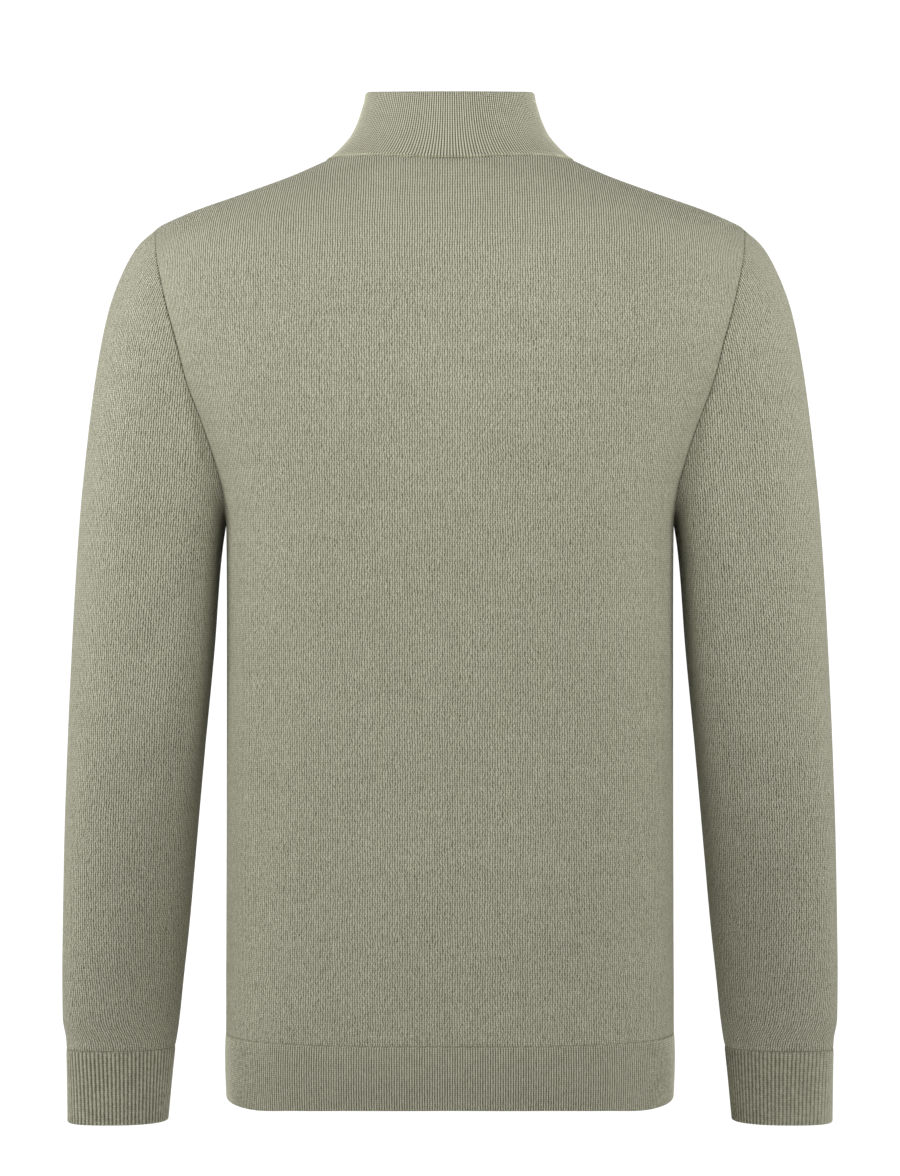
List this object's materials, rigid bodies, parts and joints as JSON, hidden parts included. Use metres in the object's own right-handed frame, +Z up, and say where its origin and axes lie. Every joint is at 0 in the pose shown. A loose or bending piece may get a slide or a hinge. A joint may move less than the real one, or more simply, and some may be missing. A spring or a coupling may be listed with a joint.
{
  "type": "quarter zip sweater",
  "caption": "Fine-knit long-sleeved sweater with a ribbed stand collar, a short front zip with a swinging pull tab, and ribbed cuffs and hem.",
  "frame": {"origin": "midway between the two shoulders' highest points, at the foot of the collar, where the wearer's shoulders hold the garment up", "axes": "+Z up towards the collar, -Y towards the front with the zip, +X towards the wearer's left sleeve"},
  "size_m": [0.581, 0.2474, 0.7666],
  "materials": {
    "fine_knit": "matt melange jersey knit in sage grey-green",
    "rib_knit": "matt melange rib knit in sage grey-green",
    "zip_tape": "matt woven tape in a darker sage",
    "zip_teeth": "satin plastic coil",
    "zip_metal": "satin dark nickel"
  },
  "bodies": {
    "garment": {"back": "fine_knit", "front": "fine_knit", "collar": "rib_knit", "sleeve_left": "fine_knit", "sleeve_right": "fine_knit", "cuff_left": "rib_knit", "cuff_right": "rib_knit", "hem_back": "rib_knit", "hem_front": "rib_knit", "zip_tape_left": "zip_tape", "zip_tape_right": "zip_tape", "zip_chain": "zip_teeth", "zip_bottom_stop": "zip_metal", "zip_top_stop_left": "zip_metal", "zip_top_stop_right": "zip_metal", "zip_slider": "zip_metal"},
    "pull": {"zip_pull": "zip_metal"}
  },
  "joints": [
    {"name": "pull_swing", "type": "hinge", "parent": "garment", "child": "pull", "pos_m": [0, -0.06885, 0.00782], "axis": [-1, 0, 0], "range_deg": [0, 160]}
  ]
}
